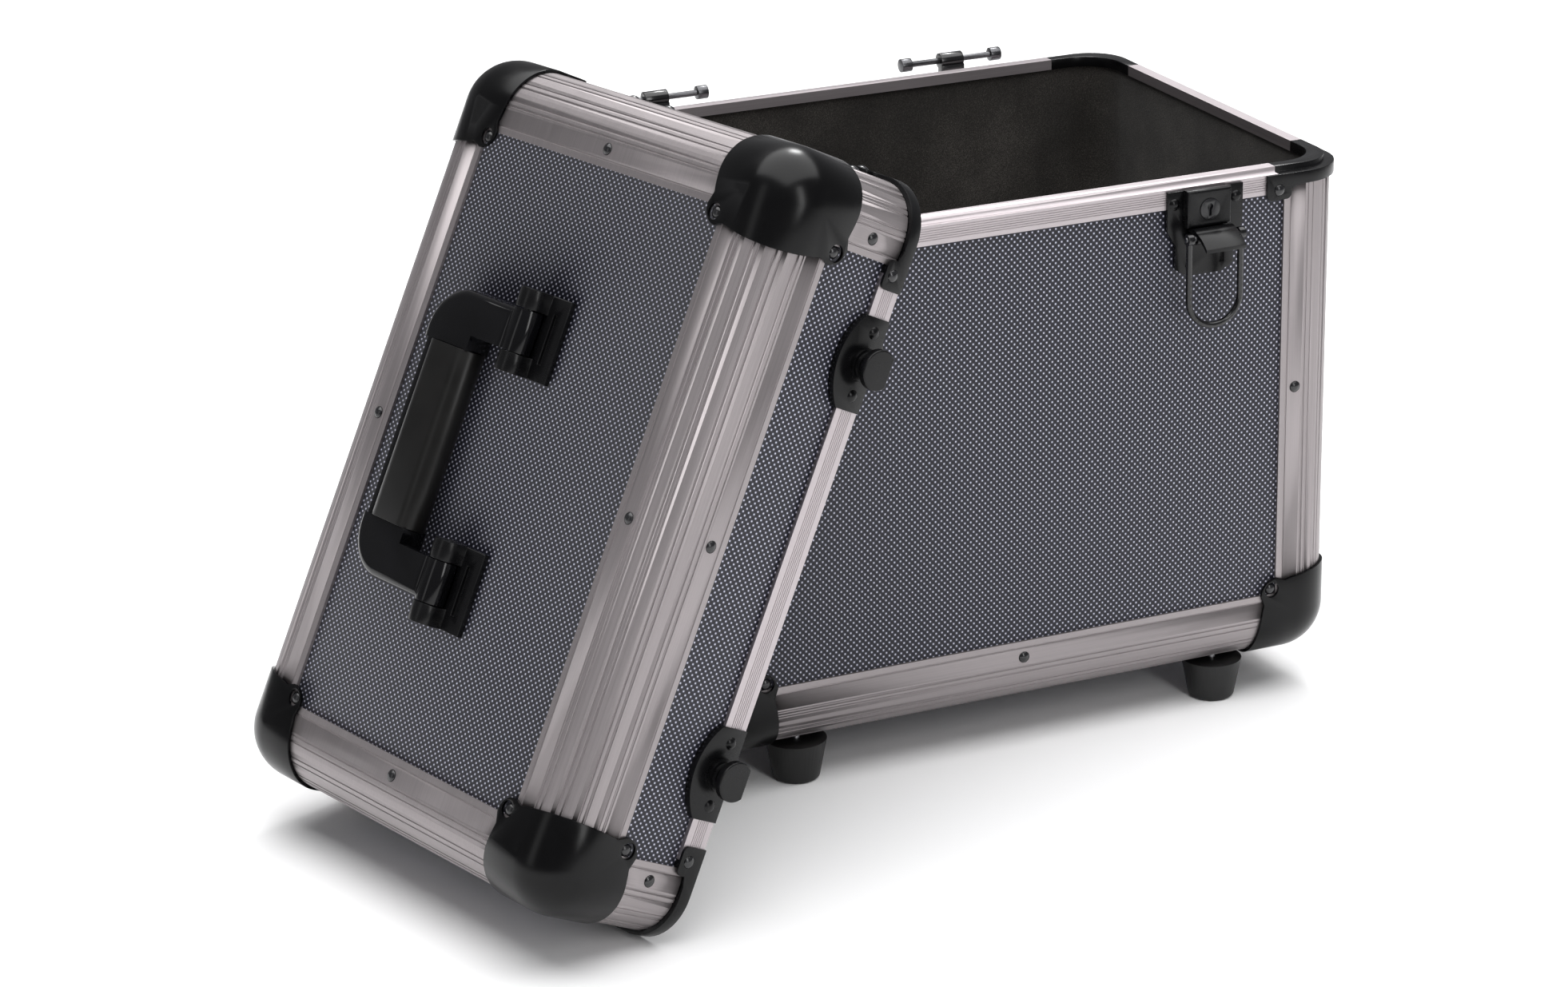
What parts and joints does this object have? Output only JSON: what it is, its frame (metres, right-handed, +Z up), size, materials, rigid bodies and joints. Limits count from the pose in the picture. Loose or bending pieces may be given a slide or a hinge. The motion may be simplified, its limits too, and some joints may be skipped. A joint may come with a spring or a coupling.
{
  "type": "hard storage case",
  "caption": "Rectangular aluminium-framed art supply box on feet, its lift-off handled lid leaning against one end, latches open.",
  "frame": {"origin": "centre of the box's footprint on the floor, midway between its four feet", "axes": "+X along the front to the right, -Y out of the front with the latches, +Z up"},
  "size_m": [0.5602, 0.4077, 0.3551],
  "materials": {
    "panel_laminate": "dark slate laminate with small raised bright dots",
    "profile_aluminium": "satin anodised, fine lines along the length",
    "rim_aluminium": "satin anodised, finely ribbed",
    "corner_black": "satin black",
    "bracket_black": "semi-gloss black",
    "rivet_black": "gloss black",
    "felt_lining": "dark felt",
    "foot_rubber": "matt",
    "screw_steel": "zinc-plated",
    "latch_black": "semi-gloss black",
    "bail_black": "gloss black wire",
    "lock_black": "gloss black",
    "pin_steel": "dark steel",
    "hinge_black": "gloss black",
    "handle_gloss": "gloss black",
    "handle_grip_soft": "soft matt black"
  },
  "bodies": {
    "box": {"body_back_panel": "panel_laminate", "body_ball_corners": "corner_black", "body_bottom_panel": "panel_laminate", "body_bottom_profiles": "profile_aluminium", "body_corner_profiles": "profile_aluminium", "body_front_panel": "panel_laminate", "body_left_panel": "panel_laminate", "body_lining": "felt_lining", "body_right_panel": "panel_laminate", "body_rim_back": "rim_aluminium", "body_rim_brackets": "bracket_black", "body_rim_front": "rim_aluminium", "body_rim_left": "rim_aluminium", "body_rim_right": "rim_aluminium", "body_rivets": "rivet_black", "foot_back_left": "foot_rubber", "foot_back_right": "foot_rubber", "foot_front_left": "foot_rubber", "foot_front_right": "foot_rubber", "foot_screws": "screw_steel", "hinge_left_leaf": "hinge_black", "hinge_pins": "pin_steel", "hinge_right_leaf": "hinge_black", "latch_left_base": "latch_black", "latch_left_housing": "latch_black", "latch_pins": "pin_steel", "latch_right_base": "latch_black", "latch_right_housing": "latch_black"},
    "lid": {"handle_bracket_left": "bracket_black", "handle_bracket_right": "bracket_black", "handle_pins": "pin_steel", "hinge_hooks": "bracket_black", "lid_back_panel": "panel_laminate", "lid_ball_corners": "corner_black", "lid_corner_profiles": "profile_aluminium", "lid_front_panel": "panel_laminate", "lid_left_panel": "panel_laminate", "lid_lining": "felt_lining", "lid_right_panel": "panel_laminate", "lid_rim_back": "rim_aluminium", "lid_rim_brackets": "bracket_black", "lid_rim_front": "rim_aluminium", "lid_rim_left": "rim_aluminium", "lid_rim_right": "rim_aluminium", "lid_rivets": "rivet_black", "lid_top_panel": "panel_laminate", "lid_top_profiles": "profile_aluminium", "striker_left_plate": "bracket_black", "striker_posts": "bracket_black", "striker_right_plate": "bracket_black"},
    "handle": {"handle_frame": "handle_gloss", "handle_grip": "handle_grip_soft"},
    "lever_left": {"latch_left_lever": "latch_black"},
    "bail_left": {"latch_left_bail": "bail_black"},
    "bail_pin_left": {"latch_left_bail_pin": "pin_steel"},
    "lock_left": {"latch_left_lock": "lock_black"},
    "lever_right": {"latch_right_lever": "latch_black"},
    "bail_right": {"latch_right_bail": "bail_black"},
    "bail_pin_right": {"latch_right_bail_pin": "pin_steel"},
    "lock_right": {"latch_right_lock": "lock_black"}
  },
  "joints": [
    {"name": "lid_lift", "type": "slide", "parent": "box", "child": "lid", "axis": [0, 0, 1], "range_m": [0, 0.3]},
    {"name": "handle_fold", "type": "hinge", "parent": "lid", "child": "handle", "pos_m": [-0.28655, -0.13477, 0.20433], "axis": [0.4304, 0.1177, 0.8949], "range_deg": [0, 90]},
    {"name": "lever_left_close", "type": "hinge", "parent": "box", "child": "lever_left", "pos_m": [-0.098, -0.131, 0.255], "axis": [1, 0, 0], "range_deg": [0, 65]},
    {"name": "bail_pin_left_turn", "type": "hinge", "parent": "lever_left", "child": "bail_pin_left", "pos_m": [-0.098, -0.13748, 0.25706], "axis": [-1, 0, 0], "range_deg": [0, 65]},
    {"name": "bail_left_swing", "type": "hinge", "parent": "bail_pin_left", "child": "bail_left", "pos_m": [-0.098, -0.13748, 0.25706], "axis": [-1, 0, 0], "range_deg": [0, 185]},
    {"name": "lock_left_turn", "type": "hinge", "parent": "box", "child": "lock_left", "pos_m": [-0.098, -0.13, 0.2695], "axis": [0, 1, 0], "range_deg": [0, 90]},
    {"name": "lever_right_close", "type": "hinge", "parent": "box", "child": "lever_right", "pos_m": [0.098, -0.131, 0.255], "axis": [1, 0, 0], "range_deg": [0, 65]},
    {"name": "bail_pin_right_turn", "type": "hinge", "parent": "lever_right", "child": "bail_pin_right", "pos_m": [0.098, -0.13748, 0.25706], "axis": [-1, 0, 0], "range_deg": [0, 65]},
    {"name": "bail_right_swing", "type": "hinge", "parent": "bail_pin_right", "child": "bail_right", "pos_m": [0.098, -0.13748, 0.25706], "axis": [-1, 0, 0], "range_deg": [0, 185]},
    {"name": "lock_right_turn", "type": "hinge", "parent": "box", "child": "lock_right", "pos_m": [0.098, -0.13, 0.2695], "axis": [0, 1, 0], "range_deg": [0, 90]}
  ],
  "couplings": [
    {"joint": "bail_pin_left_turn", "follows": "lever_left_close", "ratio": 1},
    {"joint": "bail_pin_right_turn", "follows": "lever_right_close", "ratio": 1}
  ]
}
